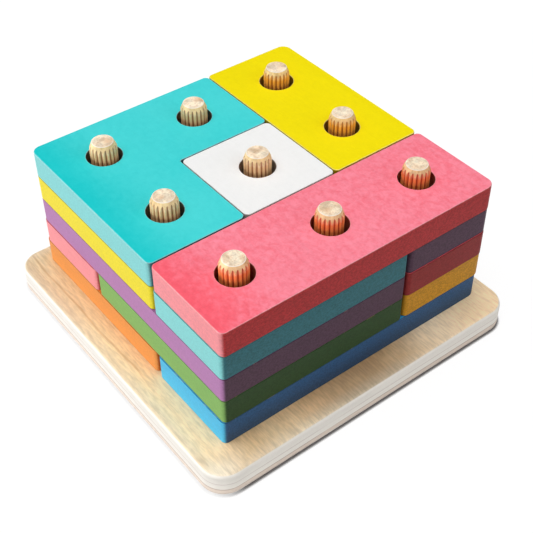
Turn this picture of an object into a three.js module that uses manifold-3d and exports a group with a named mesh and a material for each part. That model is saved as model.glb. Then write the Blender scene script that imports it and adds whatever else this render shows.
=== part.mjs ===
// Peg-stacking puzzle of painted wood. A square board holds fluted pegs in a square grid. Flat
// blocks, each cut from a few grid cells with a hole in every cell, stack on the pegs in full
// layers. Millimetres, +Z up, origin at the middle of the board's underside. Columns of the grid
// run along X and rows along Y. Pegs and blocks are shaped about the middle of the grid.

import * as THREE from 'three';
import { mergeVertices } from 'three/addons/utils/BufferGeometryUtils.js';
import Module from 'manifold-3d';

const wasm = await Module();
wasm.setup();

// Grid
const GRID_CELLS = 3;              // cells along each side of the stack
const CELL_PITCH = 39;             // from peg to peg
const GRID_MIDDLE = new THREE.Vector2(2.8, 2.4);  // on the board, whose near margins are the wider ones

// Blocks
const BLOCK_THICKNESS = 10.4;
const BLOCK_GAP = 0.6;             // between neighbouring blocks of a layer
const BLOCK_CORNER_RADIUS = 2.5;   // upright outside corners
const BLOCK_INSIDE_RADIUS = 0.8;   // upright inside corners, as a thin saw leaves them
const BLOCK_EDGE_EASE = 0.4;       // sanding along the top and bottom edges
const PEG_HOLE_CLEARANCE = 3;      // hole diameter over peg diameter, a loose fit for small hands

// Pegs
const PEG_DIAMETER = 10;
const PEG_PROUD = 6.2;             // peg above the top layer
const PEG_CHAMFER_WIDTH = 1.1;
const PEG_CHAMFER_HEIGHT = 2.6;
const FLUTE_COUNT = 18;
const FLUTE_DEPTH = 0.5;

// Board
const BOARD_THICKNESS = 10;
const BOARD_SIDE = 135;
const BOARD_CORNER_RADIUS = 9;
const BOARD_EDGE_EASE = 1.5;
const SOCKET_FLOOR = 3;            // wood left below each peg
const SOCKET_CLEARANCE = 0.3;      // socket diameter over peg diameter

// Facets
const HOLE_FACETS = 24;
const CORNER_FACETS = 4;           // per rounded corner of a block
const EASE_FACETS = 1;             // across the eased edge of a block
const BOARD_CORNER_FACETS = 8;
const BOARD_EASE_FACETS = 2;
const FLUTE_FACETS = 4;            // per flute
const CHAMFER_FACETS = 2 * FLUTE_COUNT;

const PAINTS = {
  orange: 0xf28a3c,
  blue: 0x3fa9e0,
  green: 0x79b04f,
  red: 0xf5566b,
  yellow: 0xf6e11a,
  purple: 0xb57ab5,
  turquoise: 0x3ad2d2,
  white: 0xf4f4f2,
};
const PAINT_FINISH = { roughness: 0.55, metalness: 0 };
const BOARD_FINISH = { color: 0xe8cfa0, roughness: 0.6, metalness: 0 };
const PEG_FINISH = { color: 0xe6c797, roughness: 0.65, metalness: 0 };

// Layers from the board up. Cells are [column, row]. Settle is how far a block lies off the
// middle of its pegs along X and Y, in block gaps.
const LAYERS = [
  [
    { shape: 'u', paint: 'orange', settle: [-0.3, 1.8], cells: [[0, 1], [0, 2], [1, 2], [2, 2], [2, 1]] },
    { shape: 't', paint: 'blue', settle: [-0.6, 0.2], cells: [[0, 0], [1, 0], [2, 0], [1, 1]] },
  ],
  [
    { shape: 'square', paint: 'green', settle: [0, 0], cells: [[0, 0], [1, 0], [0, 1], [1, 1]] },
    { shape: 'bar', paint: 'red', settle: [-0.3, 0.2], cells: [[0, 2], [1, 2], [2, 2]] },
    { shape: 'pair', paint: 'yellow', settle: [0.2, 0], cells: [[2, 0], [2, 1]] },
  ],
  [
    { shape: 'l', paint: 'purple', settle: [0, 0], cells: [[0, 0], [1, 0], [0, 1], [0, 2]] },
    { shape: 'pair', paint: 'yellow', settle: [0, 0], cells: [[1, 1], [1, 2]] },
    { shape: 'bar', paint: 'red', settle: [0, -0.5], cells: [[2, 0], [2, 1], [2, 2]] },
  ],
  [
    { shape: 'corner', paint: 'turquoise', settle: [0, 0], cells: [[0, 0], [1, 0], [1, 1]] },
    { shape: 'pair', paint: 'yellow', settle: [0, 0], cells: [[0, 1], [0, 2]] },
    { shape: 'l', paint: 'purple', settle: [0.4, 0], cells: [[2, 0], [2, 1], [2, 2], [1, 2]] },
  ],
  [
    { shape: 'bar', paint: 'red', settle: [0.3, -0.35], cells: [[0, 0], [1, 0], [2, 0]] },
    { shape: 'corner', paint: 'turquoise', settle: [0, 0], cells: [[0, 1], [0, 2], [1, 2]] },
    { shape: 'single', paint: 'white', settle: [0, 0], cells: [[1, 1]] },
    { shape: 'pair', paint: 'yellow', settle: [0, 0], cells: [[2, 1], [2, 2]] },
  ],
];

// Sizes that follow from the ones above
const SOCKET_DEPTH = BOARD_THICKNESS - SOCKET_FLOOR;
const PEG_LENGTH = SOCKET_DEPTH + LAYERS.length * BLOCK_THICKNESS + PEG_PROUD;

// Closed solid for cutting, from a geometry whose triangles share their corners.
function toSolid(geometry) {
  geometry.deleteAttribute('normal');
  geometry.deleteAttribute('uv');
  const merged = mergeVertices(geometry);
  const corners = merged.index.array;
  const triangles = [];
  for (let i = 0; i < corners.length; i += 3) {
    const [a, b, c] = corners.slice(i, i + 3);
    if (a !== b && b !== c && c !== a) triangles.push(a, b, c);
  }
  return new wasm.Manifold(new wasm.Mesh({
    numProp: 3,
    vertProperties: new Float32Array(merged.attributes.position.array),
    triVerts: new Uint32Array(triangles),
  }));
}

function toGeometry(solid) {
  const { vertProperties, triVerts } = solid.getMesh();
  const geometry = new THREE.BufferGeometry();
  geometry.setAttribute('position', new THREE.BufferAttribute(vertProperties, 3));
  geometry.setIndex(new THREE.BufferAttribute(triVerts, 1));
  geometry.computeVertexNormals();
  return geometry;
}

// Middle of a cell in plan, from the middle of the grid.
function cellCentre([column, row]) {
  const middle = (GRID_CELLS - 1) / 2;
  return new THREE.Vector2(column - middle, row - middle).multiplyScalar(CELL_PITCH);
}

// Upright drill through the given height range, which leaves a round hole in what it cuts.
function drill(centre, diameter, bottom, top) {
  const bit = new THREE.CylinderGeometry(diameter / 2, diameter / 2, top - bottom, HOLE_FACETS);
  bit.rotateX(Math.PI / 2);
  bit.translate(centre.x, centre.y, (bottom + top) / 2);
  return toSolid(bit);
}

// Plate of the given outline with its top and bottom edges rounded over by the ease.
function easedPlate(outline, thickness, ease, easeFacets, cornerFacets) {
  const plate = new THREE.ExtrudeGeometry(outline, {
    depth: thickness - 2 * ease,
    bevelThickness: ease,
    bevelSize: ease,
    bevelOffset: -ease,
    bevelSegments: easeFacets,
    curveSegments: cornerFacets / 2,
  });
  plate.translate(0, 0, ease);
  return plate;
}

// Corners of a group of cells, walked anticlockwise, in cells from the grid's first corner.
function groupCorners(cells) {
  const sides = new Map();
  for (const [column, row] of cells) {
    const ring = [[0, 0], [1, 0], [1, 1], [0, 1]].map(([x, y]) => [column + x, row + y]);
    ring.forEach((start, side) => {
      const end = ring[(side + 1) % ring.length];
      const shared = sides.delete(`${end} ${start}`);
      if (!shared) sides.set(`${start} ${end}`, { start, end });
    });
  }
  const next = new Map([...sides.values()].map(({ start, end }) => [`${start}`, end]));
  const walk = [[...sides.values()][0].start];
  for (let at = next.get(`${walk[0]}`); `${at}` !== `${walk[0]}`; at = next.get(`${at}`)) walk.push(at);
  return walk.map(([x, y]) => new THREE.Vector2(x, y));
}

// Outline of a block: the group's edge drawn in by half a gap, with its corners rounded.
function blockOutline(cells) {
  const walk = groupCorners(cells);
  const outline = new THREE.Shape();
  walk.forEach((corner, k) => {
    const before = corner.clone().sub(walk.at(k - 1));
    const after = walk[(k + 1) % walk.length].clone().sub(corner);
    const turn = before.cross(after);
    if (turn === 0) return;
    const radius = turn > 0 ? BLOCK_CORNER_RADIUS : BLOCK_INSIDE_RADIUS;
    const inward = after.clone().sub(before);
    const gridCorner = corner.clone().subScalar(GRID_CELLS / 2).multiplyScalar(CELL_PITCH);
    const drawIn = inward.clone().multiplyScalar(turn * BLOCK_GAP / 2);
    const centre = gridCorner.add(drawIn).add(inward.multiplyScalar(radius));
    const startAngle = Math.atan2(-after.y, -after.x);
    outline.absarc(centre.x, centre.y, radius, startAngle, before.angle(), turn < 0);
  });
  return outline;
}

function blockGeometry(cells) {
  const outline = blockOutline(cells);
  const plate = easedPlate(outline, BLOCK_THICKNESS, BLOCK_EDGE_EASE, EASE_FACETS, CORNER_FACETS);
  const holeDiameter = PEG_DIAMETER + PEG_HOLE_CLEARANCE;
  const drilled = cells.reduce((solid, cell) => {
    const bit = drill(cellCentre(cell), holeDiameter, -BLOCK_THICKNESS, 2 * BLOCK_THICKNESS);
    return solid.subtract(bit);
  }, toSolid(plate));
  return toGeometry(drilled);
}

// Section of a fluted rod: broad round ridges with narrow grooves between them.
function flutedSection() {
  const steps = FLUTE_COUNT * FLUTE_FACETS;
  const points = Array.from({ length: steps }, (_, step) => {
    const angle = 2 * Math.PI * step / steps;
    const groove = ((1 - Math.cos(FLUTE_COUNT * angle)) / 2) ** 2;
    const radius = PEG_DIAMETER / 2 - FLUTE_DEPTH * groove;
    return new THREE.Vector2(radius * Math.cos(angle), radius * Math.sin(angle));
  });
  return new THREE.Shape(points);
}

// Peg standing on z = 0: a length of fluted rod turned down to a cone at its top. The cone cuts
// the ridges lower than the grooves, which leaves the scalloped line of such a dowel.
function pegGeometry() {
  const rod = new THREE.ExtrudeGeometry(flutedSection(), { depth: 2 * PEG_LENGTH, bevelEnabled: false });
  const wide = PEG_DIAMETER / 2 + PEG_CHAMFER_WIDTH;
  const turned = new THREE.LatheGeometry([
    new THREE.Vector2(0, -PEG_LENGTH),
    new THREE.Vector2(wide, -PEG_LENGTH),
    new THREE.Vector2(wide, PEG_LENGTH - 2 * PEG_CHAMFER_HEIGHT),
    new THREE.Vector2(PEG_DIAMETER / 2 - PEG_CHAMFER_WIDTH, PEG_LENGTH),
    new THREE.Vector2(0, PEG_LENGTH),
  ], CHAMFER_FACETS);
  turned.rotateX(Math.PI / 2);
  return toGeometry(toSolid(rod).intersect(toSolid(turned)));
}

function boardOutline() {
  const reach = BOARD_SIDE / 2 - BOARD_CORNER_RADIUS;
  const outline = new THREE.Shape();
  [[1, 1], [-1, 1], [-1, -1], [1, -1]].forEach(([x, y], quarter) => {
    const startAngle = quarter * Math.PI / 2;
    outline.absarc(x * reach, y * reach, BOARD_CORNER_RADIUS, startAngle, startAngle + Math.PI / 2);
  });
  return outline;
}

function gridCells() {
  const count = [...Array(GRID_CELLS).keys()];
  return count.flatMap((column) => count.map((row) => [column, row]));
}

function boardGeometry() {
  const plate = easedPlate(
    boardOutline(), BOARD_THICKNESS, BOARD_EDGE_EASE, BOARD_EASE_FACETS, BOARD_CORNER_FACETS);
  const socketDiameter = PEG_DIAMETER + SOCKET_CLEARANCE;
  const drilled = gridCells().reduce((solid, cell) => {
    const centre = cellCentre(cell).add(GRID_MIDDLE);
    const bit = drill(centre, socketDiameter, SOCKET_FLOOR, 2 * BOARD_THICKNESS);
    return solid.subtract(bit);
  }, toSolid(plate));
  return toGeometry(drilled);
}

function piece(name, geometry, finish) {
  const mesh = new THREE.Mesh(geometry, new THREE.MeshStandardMaterial(finish));
  mesh.name = name;
  return mesh;
}

const puzzle = new THREE.Group();

puzzle.add(piece('base_board', boardGeometry(), BOARD_FINISH));

const dowel = pegGeometry();
for (const cell of gridCells()) {
  const [column, row] = cell;
  const peg = piece(`peg_${column + 1}_${row + 1}`, dowel, PEG_FINISH);
  const centre = cellCentre(cell).add(GRID_MIDDLE);
  peg.position.set(centre.x, centre.y, SOCKET_FLOOR);
  puzzle.add(peg);
}

LAYERS.forEach((blocks, level) => {
  for (const { shape, paint, settle, cells } of blocks) {
    const name = `layer${level + 1}_${paint}_${shape}`;
    const block = piece(name, blockGeometry(cells), { color: PAINTS[paint], ...PAINT_FINISH });
    const { x, y } = new THREE.Vector2(...settle).multiplyScalar(BLOCK_GAP).add(GRID_MIDDLE);
    block.position.set(x, y, BOARD_THICKNESS + level * BLOCK_THICKNESS);
    puzzle.add(block);
  }
});

export default puzzle;
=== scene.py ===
"""Looks of a peg-stacking puzzle of painted wood: a board, nine fluted pegs and fifteen drilled blocks.

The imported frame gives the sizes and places. This script builds the visible pieces on it, finishes
them in procedural wood and paint, and sets a plain studio stage with the camera. Metres, +Z up.
"""

import math

import bpy
import numpy as np
from bpy.props import FloatProperty, FloatVectorProperty, IntProperty, PointerProperty
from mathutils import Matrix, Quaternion, Vector
from mathutils.geometry import tessellate_polygon


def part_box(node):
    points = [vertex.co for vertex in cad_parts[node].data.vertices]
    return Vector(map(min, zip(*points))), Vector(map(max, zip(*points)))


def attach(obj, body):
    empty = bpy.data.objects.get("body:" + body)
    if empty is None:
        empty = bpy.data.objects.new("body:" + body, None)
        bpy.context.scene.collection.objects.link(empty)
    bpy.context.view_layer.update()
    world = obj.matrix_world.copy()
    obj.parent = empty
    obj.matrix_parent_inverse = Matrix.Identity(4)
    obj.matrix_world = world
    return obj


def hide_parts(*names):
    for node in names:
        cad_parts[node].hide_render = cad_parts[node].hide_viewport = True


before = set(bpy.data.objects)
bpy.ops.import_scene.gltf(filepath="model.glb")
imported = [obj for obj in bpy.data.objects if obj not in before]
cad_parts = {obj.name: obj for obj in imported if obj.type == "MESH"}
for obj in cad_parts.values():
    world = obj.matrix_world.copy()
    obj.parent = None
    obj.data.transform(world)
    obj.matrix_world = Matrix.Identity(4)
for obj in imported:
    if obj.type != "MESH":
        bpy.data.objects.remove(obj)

bl_info = {
    "name": "Peg stacking puzzle",
    "version": (1, 0, 0),
    "blender": (4, 5, 0),
    "location": "View3D > Sidebar > Puzzle",
    "description": "Builds the board, pegs and painted blocks of a stacking puzzle and a studio stage",
    "category": "Object",
}

GRID_CELLS = 3
PEGS = [f"peg_{column + 1}_{row + 1}" for column in range(GRID_CELLS) for row in range(GRID_CELLS)]
UP = np.array((0.0, 0.0, 1.0))
WHITE = (1.0, 1.0, 1.0)

# Paint and grid cells, as column and row, of every block
BLOCKS = {
    "layer1_orange_u": ("orange", ((0, 1), (0, 2), (1, 2), (2, 2), (2, 1))),
    "layer1_blue_t": ("blue", ((0, 0), (1, 0), (2, 0), (1, 1))),
    "layer2_green_square": ("green", ((0, 0), (1, 0), (0, 1), (1, 1))),
    "layer2_red_bar": ("red", ((0, 2), (1, 2), (2, 2))),
    "layer2_yellow_pair": ("amber", ((2, 0), (2, 1))),
    "layer3_purple_l": ("purple", ((0, 0), (1, 0), (0, 1), (0, 2))),
    "layer3_yellow_pair": ("yellow", ((1, 1), (1, 2))),
    "layer3_red_bar": ("brick", ((2, 0), (2, 1), (2, 2))),
    "layer4_turquoise_corner": ("turquoise", ((0, 0), (1, 0), (1, 1))),
    "layer4_yellow_pair": ("yellow", ((0, 1), (0, 2))),
    "layer4_purple_l": ("purple", ((2, 0), (2, 1), (2, 2), (1, 2))),
    "layer5_red_bar": ("red", ((0, 0), (1, 0), (2, 0))),
    "layer5_turquoise_corner": ("turquoise", ((0, 1), (0, 2), (1, 2))),
    "layer5_white_single": ("white", ((1, 1),)),
    "layer5_yellow_pair": ("yellow", ((2, 1), (2, 2))),
}

# Screen tones of every paint, by their place on a block. The side and foot tones are darker copies, as
# painted shade; the tones for sides at the left and the back are paler copies, as painted light; the paler
# top tones put a painted sheen towards the right, mixed with random patches
PAINTS = {
    "orange": {"top": "f58a3a", "side": "c05d22", "bleached": "e6954f"},
    "blue": {"top": "2f9fe0", "side": "315c89", "foot": "375374", "bleached": "4fbae6"},
    "green": {"top": "6cb04a", "side": "2c4925", "bleached": "84b264"},
    "red": {"top": "fb5f70", "aged": "fb8fa1", "side": "c63d3f", "bleached": "f8999f"},
    "brick": {"top": "ec5a66", "side": "962e2e", "bleached": "e08a8c"},
    "yellow": {"top": "f6e200", "side": "cbb30b", "bleached": "f2e03a"},
    "amber": {"top": "f4b93a", "side": "d49625", "bleached": "ffba48"},
    "purple": {"top": "b070b0", "side": "593e50", "bleached": "b680b2"},
    "turquoise": {"top": "0ccacd", "aged": "4edbdc", "side": "3d7881", "bleached": "8cd8d8"},
    "white": {"top": "f4f4f3", "side": "cfcfcd", "bleached": "f0f0ee"},
}
# Where each tone goes. The tone for a side in the light is painted light, the side and foot tones are
# painted shade, and the pale top tone is painted sheen mixed with random patches
TONE_PLACES = {
    "top": "on a top face",
    "aged": "on a top face, where it has paled",
    "side": "on a side",
    "foot": "on a side, at the foot of the stack",
    "bleached": "on a side that has stood in the light",
}

# How uneven a paint is, for most of them and where one differs
USUAL_MOTTLE = 0.8
MOTTLES = {"red": 1.0, "turquoise": 0.35, "white": 0.3, "yellow": 0.5}

# Wear of an upright corner, where that of a sanded edge is 1
CORNER_WEAR = 0.45

# Growth lines of the face veneer, as levels of its growth pattern
VEINS = (0.40, 0.49, 0.58)

# Place of one long line of the face veneer, where the board reaches from -1 to 1
LONG_LINE = -0.905

# Glue lines by their share of the board's thickness, with how dark each is
GLUE_LINES = {0.58: 0.32, 0.31: 0.62, 0.115: 0.5}

# Open sky over the floor where the painted contact shadow is darkest, and where it ends
CONTACT_SKY = (0.58, 0.9)

# Light of the lamps on the open floor, where white is 1
FLOOR_LIGHT = 0.85

# Start and end of the soft edge of the card under the board, in card margins
CARD_EDGE = (0.9, 1.1)

# Width of the camera's sensor in millimetres, and how near and far it sees
SENSOR_WIDTH = 36
NEAREST = 0.01
FARTHEST = 20


def linear(screen):
    """Scene-linear colour of a six-digit screen tone."""
    parts = [int(screen[k:k + 2], 16) / 255 for k in (0, 2, 4)]
    return tuple(p / 12.92 if p <= 0.04045 else ((p + 0.055) / 1.055) ** 2.4 for p in parts)


def length(name, millimetres, description):
    """Length property, with its default in millimetres."""
    return FloatProperty(name=name, description=description, default=millimetres / 1000, min=0,
                         subtype="DISTANCE", unit="LENGTH", precision=5)


def share(name, default, description):
    """Property for a share of 1."""
    return FloatProperty(name=name, description=description, default=default, min=0, subtype="FACTOR")


def turn(name, degrees, description):
    """Angle property, with its default in degrees."""
    return FloatProperty(name=name, description=description, default=math.radians(degrees),
                         subtype="ANGLE", unit="ROTATION")


def count(name, default, description):
    """Property for a number of things."""
    return IntProperty(name=name, description=description, default=default, min=1)


def tone(name, screen, description):
    """Colour property, with its default as a screen tone."""
    return FloatVectorProperty(name=name, description=description, default=linear(screen), size=3,
                               min=0, max=1, subtype="COLOR")


def place(name, millimetres, description):
    """Point property, with its default in millimetres."""
    return FloatVectorProperty(name=name, description=description, size=3, subtype="TRANSLATION",
                               unit="LENGTH", default=[mm / 1000 for mm in millimetres])


def course(name, default, description):
    """Direction property."""
    return FloatVectorProperty(name=name, description=description, default=default, size=3,
                               subtype="DIRECTION")


def amount(name, default, description):
    """Property for an amount of light."""
    return FloatProperty(name=name, description=description, default=default, min=0)


def paint_tones():
    """Colour properties of all the paints."""
    found = {}
    for paint_name, tones in PAINTS.items():
        title = paint_name.capitalize()
        for where, screen in tones.items():
            about = f"{title} {TONE_PLACES[where]}"
            found[f"{paint_name}_{where}"] = tone(f"{title} {where}", screen, about)
    return found


class BoardSettings(bpy.types.PropertyGroup):
    """Shape and wood of the board."""

    corner_radius: length("Corner radius", 9, "Upright corners")
    corner_steps: count("Corner steps", 24, "Facets in each upright corner")
    top_round: length("Top round", 1.5, "Sanding along the top edge")
    foot_round: length("Foot round", 1.2, "Sanding along the bottom edge")
    round_steps: count("Round steps", 6, "Facets across a sanded edge")
    socket_clearance: length("Socket clearance", 0.3, "Socket diameter over peg diameter")
    socket_floor: length("Socket floor", 3, "Wood left below each peg")
    socket_steps: count("Socket steps", 48, "Facets round a socket")
    socket_rim: length("Socket rim", 0.15, "Sanding round each socket")
    rim_steps: count("Rim steps", 3, "Facets across a sanded rim")
    face: tone("Face", "f3ddb2", "Face veneer")
    # Also painted light on the right side and near the front corner
    sanded: tone("Sanded", "f8ecd6", "Face veneer that is sanded pale, towards the edges")
    # Painted light on strips beside the stack and at the right end of the front strip
    painted_light_tone: tone("Lit", "ffdeae", "Face veneer that the light has bleached")
    streak: tone("Streak", "dfb884", "Darker growth of the face veneer")
    # Also painted shade at the foot of the stack
    vein_and_shade: tone("Vein", "b98950", "Thin growth lines of the face veneer")
    # Painted shade, warm, on the front strip beside the stack
    tan: tone("Tan", "e9b985", "Face veneer that has darkened beside the blocks")
    ply: tone("Ply", "f2ede4", "Plies along the edges")
    inner_ply: tone("Inner ply", "ddc9b8", "Darker ply between them")
    glue: tone("Glue", "8d6152", "Glue lines between plies")
    relief: length("Relief", 0.08, "Depth of the grain")
    gloss: share("Gloss", 0.6, "Strength of reflections")


class PegSettings(bpy.types.PropertyGroup):
    """Shape and wood of the pegs."""

    flutes: count("Flutes", 18, "Grooves round a peg")
    flute_steps: count("Flute steps", 14, "Facets across each flute")
    flute_depth: length("Flute depth", 0.6, "Depth of a groove")
    chamfer_width: length("Chamfer width", 1.1, "Width that the cone takes off the top")
    chamfer_height: length("Chamfer height", 2.6, "Height of the cone")
    top_round: length("Top round", 0.4, "Rounding between the cone and the top")
    round_steps: count("Round steps", 5, "Facets across that rounding")
    wood: tone("Wood", "f2c692", "Ridges of the flutes")
    # Painted reflected light: red and yellow tints on the flutes near the stack's top, from the paint
    # around them
    yellow_bounce: tone("Yellowed", "fcb24a", "Ridges with a rub of yellow paint, at the far right")
    red_bounce: tone("Reddened", "fa9452", "Ridges with a rub of red paint, in the near row")
    # Darker tones in the grooves are painted shade, the red one with painted reflected light too
    groove: tone("Groove", "964615", "Bottom of the grooves")
    red_bounce_groove: tone("Red groove", "ae2e12", "Bottom of the grooves with a rub of red paint")
    # Depth below the stack's top that the painted reflected light reaches
    bounce_reach: length("Rub reach", 14, "Depth below the stack's top that rubbed-off paint reaches")
    end: tone("End", "fff0d6", "Flat top")
    cone: tone("Cone", "ffdfa8", "Cone between the flutes and the top")
    smudge: tone("Smudge", "cc9252", "Rubbed patches of the end")
    pore: tone("Pore", "c4966a", "Pores and rings of the end")
    # Ridges paler below the cone, as painted light
    painted_light_reach: length("Pale reach", 1.2, "How far below the cone the ridges stay pale")
    relief: length("Relief", 0.1, "Depth of the grain")
    gloss: share("Gloss", 0.35, "Strength of reflections")


class BlockSettings(bpy.types.PropertyGroup):
    """Shape of the blocks and their paints."""

    corner_radius: length("Corner radius", 2, "Upright outside corners")
    worn_radius: length("Worn radius", 3.6, "Upright corners of the stack, apart from its near one")
    coat: length("Coat", 0.15, "Paint on the sides, over the wood")
    inside_radius: length("Inside radius", 0.8, "Upright inside corners")
    corner_steps: count("Corner steps", 10, "Facets in each upright corner")
    edge_round: length("Edge round", 0.35, "Sanding along the top and bottom edges")
    round_steps: count("Round steps", 5, "Facets across a sanded edge")
    hole_clearance: length("Hole clearance", 3, "Hole diameter over peg diameter")
    hole_steps: count("Hole steps", 56, "Facets round a hole")
    rim_round: length("Rim round", 0.4, "Sanding round each hole")
    rim_steps: count("Rim steps", 3, "Facets across a sanded rim")
    # Depth below the stack's top where the painted highlight on edges ends and painted shade in the seams
    # begins
    painted_edge_reach: length("Seam reach", 4, "Depth below the stack's top where the seams start to be grimy")
    wear: share("Wear", 0.2, "Paint rubbed off the edges")
    mottle: share("Mottle", 0.24, "Unevenness of the paint")
    relief: length("Relief", 0.06, "Depth of the paint's unevenness")
    gloss: share("Gloss", 0.16, "Strength of reflections")
    bare: tone("Bare wood", "e3bd86", "Wood under the paint")


BlockSettings.__annotations__.update(paint_tones())


class StageSettings(bpy.types.PropertyGroup):
    """Camera, light and floor."""

    aim: place("Aim", (-2.84, -9.63, 25.95), "Point in the middle of the picture")
    azimuth: turn("Azimuth", -37.332, "Camera round the puzzle, from the front")
    elevation: turn("Elevation", 42.733, "Camera above the horizon")
    roll: turn("Roll", -0.515, "Camera about its own line of sight")
    distance: length("Distance", 383.3, "From the camera to the aim")
    lens: FloatProperty(name="Lens", description="Focal length", default=70.815, min=1, unit="CAMERA")
    top_from: course("Top from", (-0.16, 0.15, 1.0), "Direction towards the light overhead")
    top_strength: amount("Top strength", 2.67, "Light from overhead")
    top_size: turn("Top size", 64, "Angle that the light overhead spans")
    key_place: place("Key place", (-380, 70, 50), "Middle of the strip light beside the puzzle")
    key_width: length("Key width", 560, "Strip light along the floor")
    key_height: length("Key height", 110, "Strip light upwards")
    key_power: amount("Key power", 1.2, "Light of the strip light, in watts")
    fill_from: course("Fill from", (0.6, -1.0, 0.6), "Direction towards the fill light")
    fill_strength: amount("Fill strength", 0.9, "Light of the fill")
    fill_size: turn("Fill size", 60, "Angle that the fill light spans")
    sky: share("Sky", 0.03, "Even light from all sides")
    floor_side: length("Floor side", 6000, "Side of the floor")
    floor_bounce: share("Floor bounce", 0.06, "Share of light that the floor sends back to the puzzle")
    shadow_depth: share("Shadow depth", 0.16, "How far the floor darkens in shadow")
    # Painted contact shadow on the floor along the board
    contact: length("Contact", 1.9, "Reach of the dark line where the board meets the floor")
    contact_left: share("Contact left", 0.15, "How dark that line is at the left, where it is 1 elsewhere")
    contact_shadow_tone: tone("Contact tone", "302727", "Colour of that line")
    card_bounce: share("Card bounce", 0.94, "Share of light that the white card under the board sends back")
    card_margin: length("Card margin", 40, "Card beyond the board")
    card_left: length("Card left", 4, "Card beyond the board at its left side")


class Wire:
    """One output of a shader node. Arithmetic on it adds the node that does it."""

    def __init__(self, tree, socket):
        self.tree = tree
        self.socket = socket

    @classmethod
    def add(cls, tree, kind, inputs=None, output=0, **settings):
        """Output of a new node, with its settings made before its inputs are filled or linked."""
        node = tree.nodes.new(kind)
        for name, value in settings.items():
            setattr(node, name, value)
        for key, value in (inputs or {}).items():
            if isinstance(value, Wire):
                tree.links.new(value.socket, node.inputs[key])
            else:
                node.inputs[key].default_value = value
        return cls(tree, node.outputs[output] if node.outputs else None)

    def math(self, operation, a, b=0.0):
        return Wire.add(self.tree, "ShaderNodeMath", {0: a, 1: b}, operation=operation)

    def __add__(self, other):
        return self.math("ADD", self, other)

    def __sub__(self, other):
        return self.math("SUBTRACT", self, other)

    def __rsub__(self, other):
        return self.math("SUBTRACT", other, self)

    def __mul__(self, other):
        return self.math("MULTIPLY", self, other)

    def __truediv__(self, other):
        return self.math("DIVIDE", self, other)

    def __rtruediv__(self, other):
        return self.math("DIVIDE", other, self)

    __radd__ = __add__
    __rmul__ = __mul__

    def most(self, other):
        """The larger of this and another value."""
        return self.math("MAXIMUM", self, other)

    def size(self):
        """This value without its sign."""
        return self.math("ABSOLUTE", self)

    def step(self, low, high):
        """Smooth rise from 0 at low to 1 at high."""
        return Wire.add(self.tree, "ShaderNodeMapRange", {"Value": self, "From Min": low, "From Max": high},
                        interpolation_type="SMOOTHSTEP")

    def band(self, start, full, fade, end):
        """Smooth rise from 0 at start to 1 at full, and fall from 1 at fade to 0 at end."""
        return self.step(start, full) * (1 - self.step(fade, end))

    def line(self, at, core, rim):
        """1 as far as core from a value, and 0 beyond rim."""
        return 1 - (self - at).size().step(core, rim)

    def part(self, axis):
        """One axis of this vector."""
        return Wire.add(self.tree, "ShaderNodeSeparateXYZ", {0: self}, output=axis)

    def scaled(self, x, y, z):
        """This place with each axis stretched, in waves of noise to a metre."""
        return Wire.add(self.tree, "ShaderNodeVectorMath", {0: self, 1: (x, y, z)}, operation="MULTIPLY")

    def noise(self, detail, roughness=0.5, distortion=0.0):
        """Soft noise from 0 to 1 at this place."""
        return Wire.add(self.tree, "ShaderNodeTexNoise", {
            "Vector": self, "Scale": 1.0, "Detail": detail, "Roughness": roughness,
            "Distortion": distortion})

    def blend(self, a, b):
        """Colour a where this is 0 and colour b where it is 1."""
        a, b = (c if isinstance(c, Wire) else (*c, 1.0) for c in (a, b))
        return Wire.add(self.tree, "ShaderNodeMix", {0: self, 6: a, 7: b}, output=2, data_type="RGBA")

    def bright(self, gain):
        """This colour times a gain."""
        return Wire.add(self.tree, "ShaderNodeVectorMath", {0: self, "Scale": gain}, operation="SCALE")


class Finish:
    """A material in the making, with the coordinates and zone marks that its pattern is drawn on."""

    def __init__(self, name):
        self.material = bpy.data.materials.new(name)
        self.material.use_nodes = True
        self.tree = self.material.node_tree
        self.surface = self.tree.nodes["Principled BSDF"]
        self.spot = Wire.add(self.tree, "ShaderNodeTexCoord", output="Object")
        zone = Wire.add(self.tree, "ShaderNodeAttribute", output="Vector", attribute_name="zone")
        self.zone = [zone.part(axis) for axis in range(3)]

    def finish(self, colour, roughness, height, settings):
        """The material with this pattern, and the relief and gloss of the settings."""
        links = self.tree.links
        relief = Wire.add(self.tree, "ShaderNodeBump", {
            "Height": height, "Distance": settings.relief, "Strength": 1.0})
        links.new(colour.socket, self.surface.inputs["Base Color"])
        links.new(roughness.socket, self.surface.inputs["Roughness"])
        links.new(relief.socket, self.surface.inputs["Normal"])
        self.surface.inputs["Specular IOR Level"].default_value = settings.gloss
        return self.material


class Ring:
    """A closed row of mesh points, with a normal and a zone mark for each."""

    def __init__(self, points, normals, marks):
        self.points = points
        self.normals = normals
        self.marks = marks
        self.first = None

    def turned(self, normals, marks):
        """The same points as the rim of another surface, so that the edge between them stays sharp."""
        other = Ring(self.points, normals, marks)
        other.first = self.first
        return other


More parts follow.
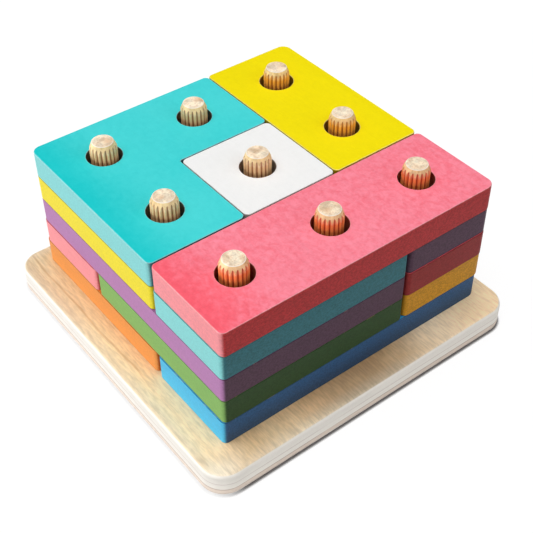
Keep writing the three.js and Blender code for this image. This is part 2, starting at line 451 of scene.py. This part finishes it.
class Shell:
    """A mesh joined from rings. Every face corner keeps the normal and zone of its own surface."""

    def __init__(self):
        self.points = []
        self.faces = []
        self.normals = []
        self.marks = []

    def add(self, ring):
        """Put the points of a ring into the mesh."""
        ring.first = len(self.points)
        self.points.extend(map(tuple, ring.points))
        return ring

    def strip(self, low, high):
        """Band of faces from a low ring up to a high one."""
        total = len(low.points)
        for i in range(total):
            j = (i + 1) % total
            self.faces.append((low.first + i, low.first + j, high.first + j, high.first + i))
            self.normals += [low.normals[i], low.normals[j], high.normals[j], high.normals[i]]
            self.marks += [low.marks[i], low.marks[j], high.marks[j], high.marks[i]]

    def cap(self, rings, normal, mark):
        """Flat face bounded by the first ring, with the other rings as openings in it."""
        where = [ring.first + i for ring in rings for i in range(len(ring.points))]
        flat = [[Vector((p[0], p[1], 0.0)) for p in ring.points] for ring in rings]
        corners = [p for row in flat for p in row]
        for a, b, c in tessellate_polygon(flat):
            rise = (corners[b] - corners[a]).cross(corners[c] - corners[a]).z
            face = (a, b, c) if rise * normal[2] > 0 else (a, c, b)
            self.faces.append(tuple(where[k] for k in face))
            self.normals += [normal] * 3
            self.marks += [mark] * 3

    def build(self, name, material):
        """Make the mesh a visible piece of the scene."""
        mesh = bpy.data.meshes.new(name)
        mesh.from_pydata(self.points, [], self.faces)
        mesh.shade_smooth()
        mesh.normals_split_custom_set([tuple(n) for n in self.normals])
        zone = mesh.attributes.new("zone", "FLOAT_VECTOR", "CORNER")
        zone.data.foreach_set("vector", np.array(self.marks, np.float32).ravel())
        mesh.materials.append(material)
        piece = bpy.data.objects.new(f"{name}_looks", mesh)
        bpy.context.scene.collection.objects.link(piece)
        return piece


class Outline:
    """Closed line in plan with the material on its left: points, the way into the material, and bend."""

    def __init__(self, points, inward, bend):
        self.points = np.array(points, float)
        self.inward = np.array(inward, float)
        self.bend = np.array(bend, float)

    def wall(self, shell, bottom, top, foot, head, steps, bore=0.0):
        """Upright wall, rounded by foot at its bottom and by head at its top. Returns its end rings.

        Its zone marks are how much a place is an edge, which the paint uses for wear, painted highlights
        and painted shade in seams, how upright the surface is, and the bore.
        """
        total = len(self.points)
        quarter = np.linspace(0, math.pi / 2, steps + 1)
        lower = [(foot, bottom + foot, -angle) for angle in quarter[::-1]]
        upper = [(head, top - head, angle) for angle in quarter]
        rings = []
        for radius, level, slope in lower + upper:
            drawn = self.points + self.inward * radius * (1 - math.cos(slope))
            points = np.column_stack((drawn, np.full(total, level + radius * math.sin(slope))))
            out = np.column_stack((-self.inward * math.cos(slope), np.full(total, math.sin(slope))))
            edge = np.maximum(abs(math.sin(2 * slope)), self.bend * math.cos(slope) * CORNER_WEAR)
            upright = np.full(total, math.cos(slope))
            marks = np.column_stack((edge, upright, upright * bore))
            rings.append(shell.add(Ring(points, out, marks)))
        for low, high in zip(rings, rings[1:]):
            shell.strip(low, high)
        return rings[0], rings[-1]


def rounded_outline(corners, radii, inside_radius, steps):
    """Right-angled outline, walked anticlockwise, with its corners rounded."""
    points, inward, bend = [], [], []
    for k, corner in enumerate(corners):
        before = corner - corners[k - 1]
        after = corners[(k + 1) % len(corners)] - corner
        before = before / np.linalg.norm(before)
        after = after / np.linalg.norm(after)
        side = before[0] * after[1] - before[1] * after[0]
        reach = radii[k] if side > 0 else inside_radius
        centre = corner + (after - before) * reach
        start = math.atan2(-after[1], -after[0])
        for t in np.linspace(0, 1, steps + 1):
            angle = start + side * t * math.pi / 2
            out = np.array((math.cos(angle), math.sin(angle)))
            points.append(centre + out * reach)
            inward.append(-out * side)
            bend.append(math.sin(t * math.pi) if side > 0 else 0.0)
    return Outline(points, inward, bend)


def hole_outline(centre, radius, steps):
    """Round hole, walked clockwise so that the material is on its left."""
    angles = -2 * math.pi * np.arange(steps) / steps
    out = np.column_stack((np.cos(angles), np.sin(angles)))
    return Outline(centre + out * radius, out, np.zeros(steps))


def middle(node):
    """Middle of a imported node's box."""
    low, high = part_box(node)
    return np.array((low + high) / 2)


def cell_pitch():
    """Distance between neighbouring pegs."""
    return (middle("peg_3_1")[0] - middle("peg_1_1")[0]) / (GRID_CELLS - 1)


def peg_diameter():
    """Diameter of a packed peg."""
    low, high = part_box("peg_1_1")
    return high.x - low.x


def stack_top():
    """Height of the top face of the stack."""
    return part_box("layer5_red_bar")[1].z


def cell_corners(cells):
    """Corners of a group of cells, walked anticlockwise, in cells from the grid's first corner."""
    sides = []
    for column, row in cells:
        ring = [(column, row), (column + 1, row), (column + 1, row + 1), (column, row + 1)]
        for start, end in zip(ring, ring[1:] + ring[:1]):
            if (end, start) in sides:
                sides.remove((end, start))
            else:
                sides.append((start, end))
    following = dict(sides)
    walk = [next(iter(following))]
    while following[walk[-1]] != walk[0]:
        walk.append(following[walk[-1]])
    kept = []
    for k, corner in enumerate(walk):
        before, after = walk[k - 1], walk[(k + 1) % len(walk)]
        straight = before[0] == corner[0] == after[0] or before[1] == corner[1] == after[1]
        if not straight:
            kept.append(corner)
    return np.array(kept, float)


def drawn_in(corners, gap):
    """Corners of a right-angled outline, each moved into the material by half the gap."""
    moved = []
    for k, corner in enumerate(corners):
        before = np.sign(corner - corners[k - 1])
        after = np.sign(corners[(k + 1) % len(corners)] - corner)
        side = before[0] * after[1] - before[1] * after[0]
        moved.append(corner + (after - before) * side * gap / 2)
    return np.array(moved)


def face_veneer(spot, growth, cloud, wander, settings):
    """Face of the board: growth lines along Y, sanded edges, and painted shade and painted light
    on strips beside the stack.

    Places are shares of half the board's side, so it reaches from -1 to 1.
    """
    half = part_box("base_board")[1]
    across = spot.part(0) / half.x
    along = spot.part(1) / half.y
    front = 0 - along
    front_strip = front.step(0.72, 0.84)
    veins = sum(growth.line(at, 0.002, 0.014) for at in VEINS)
    colour = (growth.step(0.40, 0.66) * 0.7).blend(settings.face, settings.streak)
    colour = (veins * cloud.step(0.4, 0.65) * 0.18).blend(colour, settings.vein_and_shade)
    # Painted shade, warm, on the front strip beside the stack
    warm_front_shade = front_strip * across.band(-0.75, -0.25, 0.0, 0.5)
    warm_front_shade = warm_front_shade * (1 - front.step(0.92, 1.0) * 0.6)
    colour = (warm_front_shade * 0.75).blend(colour, settings.tan)
    # Painted shade at the foot of the stack, on the front strip
    stack_foot_shade = front.band(0.76, 0.82, 0.84, 0.91) * (1 - across.step(0.3, 0.8))
    colour = (stack_foot_shade * cloud.step(0.1, 0.6) * 0.35).blend(colour, settings.vein_and_shade)
    long_line = (across + (wander - 0.5) * 0.07).line(LONG_LINE, 0.002, 0.010)
    colour = (long_line * cloud.step(0.15, 0.4) * 0.42).blend(colour, settings.vein_and_shade)
    # Paler: sanded edges, and painted light on the right side and near the front corner
    edges = across.size().most(along.size()).step(0.9, 1.0)
    lit_near_corner = front.step(0.75, 0.95) * (1 - across.step(-0.95, -0.7))
    pale = (edges * 0.4).most(across.step(0.15, 0.75) * 0.95).most(lit_near_corner * 0.7)
    colour = pale.blend(colour, settings.sanded)
    # Painted light on the left strip beside the stack and at the right end of the front strip
    lit_left_strip = across.band(-0.96, -0.9, -0.82, -0.78) * along.band(-0.96, -0.8, -0.3, -0.1)
    lit_right_end = across.step(0.3, 0.8) * front.step(0.7, 0.8)
    colour = (lit_left_strip.most(lit_right_end) * 0.8).blend(colour, settings.painted_light_tone)
    # Painted shade in the middle of the front strip, along the left edge and towards the back at the left
    front_shade = front_strip * (1 - across.size().step(0.05, 0.5)) * 0.36
    left_edge_shade = (1 - across.step(-0.97, -0.92)) * 0.08
    back_left_shade = (1 - across.step(-0.85, -0.8)) * along.step(0.0, 0.9) * 0.18
    return colour.bright(1 - front_shade - left_edge_shade - back_left_shade)


def ply_edge(spot, ply_lines, pores, wander, settings):
    """Edge of the board: finely lined plies, a darker one between them, and glue lines."""
    low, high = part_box("base_board")
    level = spot.part(2) / (high.z - low.z) + (wander - 0.5) * 0.04
    colour = (level.band(0.10, 0.13, 0.29, 0.33) * 0.75).blend(settings.ply, settings.inner_ply)
    colour = colour.bright(0.88 + ply_lines * 0.14 + pores * 0.08)
    glue = sum(level.line(at, 0.008, 0.026) * dark for at, dark in GLUE_LINES.items())
    return (glue * wander.step(0.2, 0.5)).blend(colour, settings.glue)


def board_wood(settings):
    """Plywood: a face veneer with its grain along Y, and plies that show along the edges."""
    made = Finish("Board wood")
    _, upright, bore = made.zone
    spot = made.spot
    growth = spot.scaled(52, 4, 52).noise(2, 0.5, 0.15)
    fibre = spot.scaled(1000, 40, 1000).noise(2, 0.6)
    pores = spot.scaled(1100, 190, 1100).noise(2, 0.6)
    cloud = spot.scaled(24, 14, 24).noise(2)
    wander = spot.scaled(30, 30, 0).noise(2)
    ply_lines = spot.scaled(50, 50, 1700).noise(2, 0.6)
    face = face_veneer(spot, growth, cloud, wander, settings)
    face = face.bright(0.73 + fibre * 0.22 + cloud * 0.1 + pores.step(0.3, 0.7) * 0.24)
    edge = ply_edge(spot, ply_lines, pores, wander, settings)
    # Socket walls darker, as painted shade
    colour = upright.step(0.45, 0.75).blend(face, edge).bright(1 - bore * 0.45)
    roughness = 0.5 + growth * 0.12 + upright * 0.05
    height = fibre * 0.6 + pores * 0.4 + upright * ply_lines * 0.8
    return made.finish(colour, roughness, height, settings)


def flute_tones(spot, settings):
    """Ridge and groove of a flute, tinted red in the near row and yellow in the far column near the
    stack's top, as painted reflected light from the paint around them.
    """
    bounce_from = stack_top() - settings.bounce_reach
    rubbed = spot.part(2).step(bounce_from, bounce_from + settings.bounce_reach / 2)
    half = cell_pitch() / 2
    past_first_row = (spot.part(1) - middle("peg_1_1")[1] - half) / half
    past_second_column = (spot.part(0) - middle("peg_2_1")[0] - half) / half
    red = (1 - past_first_row.step(-0.2, 0.2)) * rubbed
    yellow = past_second_column.step(-0.2, 0.2) * rubbed
    ridge = red.blend(yellow.blend(settings.wood, settings.yellow_bounce), settings.red_bounce)
    return ridge, red.blend(settings.groove, settings.red_bounce_groove)


def worn_end(colour, spot, face, pores, settings):
    """Rings, pores and rubbed patches over the colour of a peg's end, fainter on its cone."""
    strength = face * 0.3 + 0.7
    rings = spot.scaled(300, 130, 60).noise(1, 0.5, 0.8)
    handling = spot.scaled(23, 23, 0).noise(1).step(0.3, 0.7)
    patches = spot.scaled(210, 210, 280).noise(3, 0.55, 0.4) + handling * 0.1
    colour = (rings.step(0.42, 0.74) * strength * 0.28).blend(colour, settings.pore)
    colour = (pores.step(0.5, 0.66) * strength * 0.32).blend(colour, settings.pore)
    return (patches.step(0.44, 0.78) * strength * 0.5).blend(colour, settings.smudge)


def peg_wood(settings):
    """Turned hardwood: streaks up the flutes, grooves darker as painted shade, ridges paler below the
    cone as painted light, a pale cone and end, and a painted white highlight round the end's rim.
    """
    made = Finish("Peg wood")
    groove, end, face = made.zone
    spot = made.spot
    streak = spot.scaled(700, 700, 45).noise(3, 0.6)
    cloud = spot.scaled(170, 170, 60).noise(2)
    pores = spot.scaled(1500, 1500, 260).noise(2, 0.55)
    blotch = spot.scaled(420, 420, 300).noise(3, 0.6)
    ridge, sunk = flute_tones(spot, settings)
    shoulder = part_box("peg_1_1")[1].z - settings.chamfer_height
    # Painted light: ridges paler just below the cone
    pale = spot.part(2).step(shoulder - settings.painted_light_reach, shoulder) * (1 - groove * 0.75)
    # Painted shade: darker tones in the grooves
    side = (groove.step(0.45, 1.0) * 0.8).blend(ridge, sunk)
    side = (pale * 0.3).blend(side, settings.end)
    side = side.bright(0.86 + streak * 0.32 + cloud * 0.16)
    climb = spot.part(2).step(shoulder, shoulder + settings.chamfer_height * 0.7)
    cone = ((1 - climb) * 0.45).blend(settings.cone, ridge)
    top = worn_end(face.step(0.3, 0.8).blend(cone, settings.end), spot, face, pores, settings)
    top = top.bright(0.8 + cloud * 0.2 + blotch.step(0.35, 0.65) * 0.26 - face * 0.04)
    # Painted highlight: a white ring round the rim of the end
    top = (face.line(0.5, 0.1, 0.5) * 0.6).blend(top, WHITE)
    colour = end.step(0.3, 0.7).blend(side, top)
    roughness = 0.5 + streak * 0.2 + face * 0.1
    height = streak * 0.5 + pores * 0.4
    return made.finish(colour, roughness, height, settings)


def paint_by_side(name, made, facing, patchy, settings):
    """Tones of a paint. Tops grow paler towards the right, as a painted sheen, and in random patches.
    Sides take a darker copy as painted shade, darker still at the stack's foot, and a paler copy
    as painted light at the left and the back.

    Also returns how far each place has that painted light.
    """
    top = getattr(settings, f"{name}_top")
    aged = getattr(settings, f"{name}_aged", top)
    side = getattr(settings, f"{name}_side")
    foot = getattr(settings, f"{name}_foot", side)
    bleached = getattr(settings, f"{name}_bleached")
    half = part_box("base_board")[1]
    across = made.spot.part(0) / half.x
    along = made.spot.part(1) / half.y
    # Painted sheen: tops paler towards the right, mixed with random patches of paler paint
    tops = (across.step(-1.0, -0.4) * 0.7 + patchy).step(0, 1).blend(top, aged)
    # Painted light: sides that face the left or the back take the paler copy
    left = (0 - across).step(0.6, 0.75) * (0 - facing.part(0)).step(0.4, 0.9)
    back = along.step(0.6, 0.75) * facing.part(1).step(0.4, 0.9)
    painted_lit_share = left.most(back * 0.8)
    # Painted shade: sides darker at the foot of the stack
    low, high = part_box("layer1_blue_t")
    shaded = made.spot.part(2).step(low.z, high.z).blend(foot, side)
    upright = made.zone[1].step(0.35, 0.9)
    return upright.blend(tops, painted_lit_share.blend(shaded, bleached)), painted_lit_share


def edged(colour, made, facing, settings):
    """Paint with a painted highlight along the upper edges at the stack's top, and painted shade
    darkening the seams below it.
    """
    edge = made.zone[0]
    tilt = facing.part(2)
    top_band_from = stack_top() - settings.painted_edge_reach
    in_top_band = made.spot.part(2).step(top_band_from, top_band_from + settings.painted_edge_reach / 2)
    # Painted highlight along the upper edges of the top layer
    rim = edge * tilt.step(0.2, 0.6) * in_top_band
    # Painted shade darkening the seams between the layers below
    painted_seam_shade = edge * tilt.size().step(0.1, 0.5) * (1 - in_top_band)
    return (rim * 0.2).blend(colour, WHITE).bright(1 - painted_seam_shade * 0.5)


def paint(name, settings):
    """Sprayed paint on wood: own tones on tops and sides with painted light, shade and sheen, soft
    mottling, faint grain, rubbed edges, and hole walls darkened as painted shade.
    """
    mottle = MOTTLES.get(name, USUAL_MOTTLE)
    made = Finish(f"{name.capitalize()} paint")
    edge, upright, bore = made.zone
    spot = made.spot
    facing = Wire.add(made.tree, "ShaderNodeTexCoord", output="Normal")
    cloud = spot.scaled(24, 24, 24).noise(2, 0.5, 0.4)
    blotch = spot.scaled(420, 340, 420).noise(3, 0.65, 0.4)
    grain = spot.scaled(700, 60, 700).noise(2, 0.6)
    peel = spot.scaled(1100, 1100, 1100).noise(2, 0.6)
    chips = spot.scaled(330, 330, 330).noise(3, 0.65)
    speckle = spot.scaled(1400, 1400, 1800).noise(2, 0.7).step(0.3, 0.7)
    patchy = (cloud - 0.5) * 0.5 + (blotch - 0.5) * mottle
    colour, painted_lit_share = paint_by_side(name, made, facing, patchy, settings)
    colour = edged(colour, made, facing, settings)
    uneven = (blotch - 0.5) * 0.8 + (peel - 0.5) * 0.6 + (grain - 0.5) * 0.4
    speckled = (speckle - 0.5) * upright * (0.4 - painted_lit_share * 0.28)
    colour = colour.bright(1 + uneven * (settings.mottle * mottle) + speckled)
    worn = edge.step(0.35, 1) * chips.step(0.56, 0.66) * settings.wear
    colour = worn.blend(colour, settings.bare)
    # Hole walls: patches of bare wood, and darker as painted shade
    inner = bore.step(0.5, 1)
    colour = (inner * chips.step(0.35, 0.6) * 0.4).blend(colour, settings.bare)
    colour = colour.bright(1 - inner * 0.55)
    roughness = 0.42 + blotch * 0.1 + upright * 0.06 + worn * 0.2
    height = peel * 0.5 + grain * 0.6 + blotch * 0.6 - worn * 0.6
    return made.finish(colour, roughness, height, settings)


class PUZZLE_OT_board(bpy.types.Operator):
    """Build the plywood board with its nine peg sockets"""

    bl_idname = "puzzle.board"
    bl_label = "Build board"

    def execute(self, context):
        settings = context.scene.puzzle_board
        low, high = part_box("base_board")
        corners = np.array(((low.x, low.y), (high.x, low.y), (high.x, high.y), (low.x, high.y)))
        radii = [settings.corner_radius] * len(corners)
        shell = Shell()
        outside = rounded_outline(corners, radii, 0, settings.corner_steps)
        bottom, top = outside.wall(shell, low.z, high.z, settings.foot_round, settings.top_round,
                                   settings.round_steps)
        radius = (peg_diameter() + settings.socket_clearance) / 2
        rims = []
        for peg in PEGS:
            socket = hole_outline(middle(peg)[:2], radius, settings.socket_steps)
            floor, rim = socket.wall(shell, settings.socket_floor, high.z, 0, settings.socket_rim,
                                     settings.rim_steps, bore=1.0)
            shell.cap([floor], UP, (0, 0, 1))
            rims.append(rim)
        shell.cap([top, *rims], UP, (0, 0, 0))
        shell.cap([bottom], -UP, (0, 0, 0))
        piece = shell.build("base_board", board_wood(settings))
        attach(piece, "base")
        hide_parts("base_board")
        return {"FINISHED"}


class PUZZLE_OT_pegs(bpy.types.Operator):
    """Build the nine fluted pegs"""

    bl_idname = "puzzle.pegs"
    bl_label = "Build pegs"

    def execute(self, context):
        settings = context.scene.puzzle_pegs
        material = peg_wood(settings)
        for peg in PEGS:
            piece = self.turned_peg(peg, settings).build(peg, material)
            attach(piece, "base")
            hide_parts(peg)
        return {"FINISHED"}

    def turned_peg(self, peg, settings):
        """Fluted rod with a cone, whose zone marks are the groove, the cone and end, and the end alone."""
        low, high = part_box(peg)
        centre = middle(peg)[:2]
        radius = (high.x - low.x) / 2
        total = settings.flutes * settings.flute_steps
        angles = 2 * math.pi * np.arange(total) / total
        cosine, sine, zero = np.cos(angles), np.sin(angles), np.zeros(total)
        groove = (1 - np.cos(settings.flutes * angles)) / 2
        reach = radius - settings.flute_depth * groove
        slope = -settings.flute_depth / 2 * settings.flutes * np.sin(settings.flutes * angles)
        out = np.column_stack((reach * cosine + slope * sine, reach * sine - slope * cosine, zero))
        out /= np.linalg.norm(out, axis=1)[:, None]
        marks = np.column_stack((groove, zero, zero))

        def row(distance, height):
            plan = np.column_stack((distance * cosine, distance * sine)) + centre
            return np.column_stack((plan, height + zero))

        shell = Shell()
        neck = radius - settings.chamfer_width
        steep = settings.chamfer_height / settings.chamfer_width
        bottom = shell.add(Ring(row(reach, low.z), out, marks))
        scallop = shell.add(Ring(row(reach, high.z - (reach - neck) * steep), out, marks))
        shell.strip(bottom, scallop)
        shell.cap([bottom], -UP, (0, 1, 0))
        lean = math.atan2(settings.chamfer_width, settings.chamfer_height)
        disc = neck - settings.top_round * math.tan((math.pi / 2 - lean) / 2)
        below = None
        for step, angle in enumerate(np.linspace(lean, math.pi / 2, settings.round_steps + 1)):
            tilt = np.column_stack((cosine * math.cos(angle), sine * math.cos(angle),
                                    np.full(total, math.sin(angle))))
            marks = np.tile((0, 1, step / settings.round_steps), (total, 1))
            distance = disc + settings.top_round * math.cos(angle)
            height = high.z - settings.top_round * (1 - math.sin(angle))
            ring = shell.add(Ring(row(distance, height), tilt, marks))
            shell.strip(below or scallop.turned(tilt, marks), ring)
            below = ring
        shell.cap([below], UP, (0, 1, 1))
        return shell


class PUZZLE_OT_blocks(bpy.types.Operator):
    """Build the painted blocks, each drilled for its pegs"""

    bl_idname = "puzzle.blocks"
    bl_label = "Build blocks"

    def execute(self, context):
        settings = context.scene.puzzle_blocks
        paints = {}
        for name, (colour, cells) in BLOCKS.items():
            if colour not in paints:
                paints[colour] = paint(colour, settings)
            piece = self.drilled_block(name, cells, settings).build(name, paints[colour])
            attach(piece, name)
            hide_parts(name)
        return {"FINISHED"}

    def drilled_block(self, name, cells, settings):
        """Block of grid cells, with a hole in each."""
        low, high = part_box(name)
        pitch = cell_pitch()
        at_cells = cell_corners(cells)
        worn = (at_cells % GRID_CELLS == 0).all(1) & at_cells.any(1)
        radii = np.where(worn, settings.worn_radius, settings.corner_radius)
        corners = (at_cells - GRID_CELLS / 2) * pitch
        spread = corners.max(0) - corners.min(0)
        gap = spread[0] - (high.x - low.x) - 2 * settings.coat
        settle = middle(name)[:2] - (corners.max(0) + corners.min(0)) / 2
        outside = rounded_outline(drawn_in(corners, gap) + settle, radii, settings.inside_radius,
                                  settings.corner_steps)
        shell = Shell()
        bottom, top = outside.wall(shell, low.z, high.z, settings.edge_round, settings.edge_round,
                                   settings.round_steps)
        radius = (peg_diameter() + settings.hole_clearance) / 2
        floors, rims = [], []
        for cell in cells:
            centre = (np.array(cell) - (GRID_CELLS - 1) / 2) * pitch + settle
            hole = hole_outline(centre, radius, settings.hole_steps)
            floor, rim = hole.wall(shell, low.z, high.z, settings.rim_round, settings.rim_round,
                                   settings.rim_steps, bore=1.0)
            floors.append(floor)
            rims.append(rim)
        shell.cap([top, *rims], UP, (0, 0, 0))
        shell.cap([bottom, *floors], -UP, (0, 0, 0))
        return shell


class PUZZLE_OT_stage(bpy.types.Operator):
    """Set the floor, the light and the camera"""

    bl_idname = "puzzle.stage"
    bl_label = "Set stage"

    def execute(self, context):
        settings = context.scene.puzzle_stage
        self.floor(context.scene, settings)
        self.light(context.scene, settings)
        self.camera(context.scene, settings)
        return {"FINISHED"}

    def floor(self, scene, settings):
        """Wide floor at the board's underside."""
        half = settings.floor_side / 2
        mesh = bpy.data.meshes.new("floor")
        mesh.from_pydata([(-half, -half, 0), (half, -half, 0), (half, half, 0), (-half, half, 0)], [],
                         [(0, 1, 2, 3)])
        plane = bpy.data.objects.new("floor", mesh)
        scene.collection.objects.link(plane)
        material = bpy.data.materials.new("Floor")
        material.use_nodes = True
        tree = material.node_tree
        tree.nodes.clear()
        spot = Wire.add(tree, "ShaderNodeTexCoord", output="Object")
        mixed = Wire.add(tree, "ShaderNodeMixShader", {
            0: self.seen(tree), 1: self.bounce(tree, spot, settings), 2: self.show(tree, spot, settings)})
        Wire.add(tree, "ShaderNodeOutputMaterial", {"Surface": mixed})
        mesh.materials.append(material)

    def seen(self, tree):
        """1 for rays that show the stage in the picture, straight or by reflection, and 0 for light."""
        paths = [Wire.add(tree, "ShaderNodeLightPath", output=f"Is {ray} Ray")
                 for ray in ("Camera", "Glossy", "Transmission")]
        return paths[0].most(paths[1]).most(paths[2])

    def show(self, tree, spot, settings):
        """The floor in the picture: white, with a soft shadow from the lamps and a painted contact shadow
        along the board, fainter at its left side.
        """
        depth = settings.shadow_depth
        # Painted contact shadow: darker where the floor sees less open sky, fainter at the board's left
        # side
        from_left = (spot.part(0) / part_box("base_board")[1].x).step(-1.0, -0.8)
        dark = from_left * (1 - settings.contact_left) + settings.contact_left
        open_sky = Wire.add(tree, "ShaderNodeAmbientOcclusion", {"Distance": settings.contact}, output="AO")
        painted_contact_shadow = (1 - open_sky.step(*CONTACT_SKY)) * dark
        catch = Wire.add(tree, "ShaderNodeBsdfDiffuse", {"Color": (depth, depth, depth, 1)})
        glow = Wire.add(tree, "ShaderNodeEmission", {
            "Color": painted_contact_shadow.blend(WHITE, settings.contact_shadow_tone), "Strength": 1 - depth * FLOOR_LIGHT})
        return Wire.add(tree, "ShaderNodeAddShader", {0: catch, 1: glow})

    def bounce(self, tree, spot, settings):
        """The floor for light: nearly black, with a white card under the board."""
        card, bare = (Wire.add(tree, "ShaderNodeBsdfDiffuse", {"Color": (grey, grey, grey, 1)})
                      for grey in (settings.card_bounce, settings.floor_bounce))
        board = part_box("base_board")[1]
        shift = (settings.card_margin - settings.card_left) / 2
        past_sides = (spot.part(0) - shift).size() - (board.x - shift)
        past_board = past_sides.most(spot.part(1).size() - board.y)
        edge = (settings.card_margin * part for part in CARD_EDGE)
        return Wire.add(tree, "ShaderNodeMixShader", {0: past_board.step(*edge), 1: card, 2: bare})

    def light(self, scene, settings):
        """Weak sky, a strip light at the left, a lamp overhead and a fill."""
        scene.world = self.sky(settings)
        strip = bpy.data.lights.new("key", "AREA")
        strip.shape = "RECTANGLE"
        strip.size = settings.key_width
        strip.size_y = settings.key_height
        strip.energy = settings.key_power
        key = bpy.data.objects.new("key", strip)
        key.location = settings.key_place
        key.rotation_euler = (math.pi / 2, 0, -math.pi / 2)
        key.visible_camera = False
        scene.collection.objects.link(key)
        for name in ("top", "fill"):
            lamp = bpy.data.lights.new(name, "SUN")
            lamp.energy = getattr(settings, f"{name}_strength")
            lamp.angle = getattr(settings, f"{name}_size")
            sun = bpy.data.objects.new(name, lamp)
            sun.rotation_mode = "QUATERNION"
            sun.rotation_quaternion = Vector(getattr(settings, f"{name}_from")).to_track_quat("Z", "Y")
            scene.collection.objects.link(sun)

    def sky(self, settings):
        """White to the camera, and a weak even light for all else."""
        world = bpy.data.worlds.new("Studio")
        world.use_nodes = True
        tree = world.node_tree
        tree.nodes.clear()
        weak, white = (Wire.add(tree, "ShaderNodeBackground", {"Color": (*WHITE, 1), "Strength": strength})
                       for strength in (settings.sky, 1.0))
        camera = Wire.add(tree, "ShaderNodeLightPath", output="Is Camera Ray")
        mixed = Wire.add(tree, "ShaderNodeMixShader", {0: camera, 1: weak, 2: white})
        Wire.add(tree, "ShaderNodeOutputWorld", {"Surface": mixed})
        return world

    def camera(self, scene, settings):
        """Camera at its distance from the aim, and plain view colours."""
        level = math.cos(settings.elevation)
        back = Vector((math.sin(settings.azimuth) * level, -math.cos(settings.azimuth) * level,
                       math.sin(settings.elevation)))
        data = bpy.data.cameras.new("camera")
        data.lens = settings.lens
        data.sensor_width = SENSOR_WIDTH
        data.clip_start = NEAREST
        data.clip_end = FARTHEST
        camera = bpy.data.objects.new("camera", data)
        camera.rotation_mode = "QUATERNION"
        camera.location = Vector(settings.aim) + back * settings.distance
        camera.rotation_quaternion = back.to_track_quat("Z", "Y") @ Quaternion((0, 0, 1), settings.roll)
        scene.collection.objects.link(camera)
        scene.camera = camera
        scene.view_settings.view_transform = "Standard"


class PUZZLE_PT_sidebar(bpy.types.Panel):
    """Settings and build buttons of the puzzle"""

    bl_label = "Peg stacking puzzle"
    bl_space_type = "VIEW_3D"
    bl_region_type = "UI"
    bl_category = "Puzzle"

    def draw(self, context):
        for operator, group in STEPS.items():
            box = self.layout.box()
            settings = getattr(context.scene, group)
            for name in settings.bl_rna.properties.keys():
                if name not in ("rna_type", "name"):
                    box.prop(settings, name)
            box.operator(operator)


STEPS = {
    "puzzle.board": "puzzle_board",
    "puzzle.pegs": "puzzle_pegs",
    "puzzle.blocks": "puzzle_blocks",
    "puzzle.stage": "puzzle_stage",
}
GROUPS = {
    "puzzle_board": BoardSettings,
    "puzzle_pegs": PegSettings,
    "puzzle_blocks": BlockSettings,
    "puzzle_stage": StageSettings,
}
CLASSES = (*GROUPS.values(), PUZZLE_OT_board, PUZZLE_OT_pegs, PUZZLE_OT_blocks, PUZZLE_OT_stage,
           PUZZLE_PT_sidebar)


def register():
    for kind in CLASSES:
        bpy.utils.register_class(kind)
    for name, group in GROUPS.items():
        setattr(bpy.types.Scene, name, PointerProperty(type=group))


def unregister():
    for name in GROUPS:
        delattr(bpy.types.Scene, name)
    for kind in reversed(CLASSES):
        bpy.utils.unregister_class(kind)


def main():
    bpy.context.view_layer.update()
    register()
    bpy.ops.puzzle.board()
    bpy.ops.puzzle.pegs()
    bpy.ops.puzzle.blocks()
    bpy.ops.puzzle.stage()


if __name__ == "__main__":
    main()
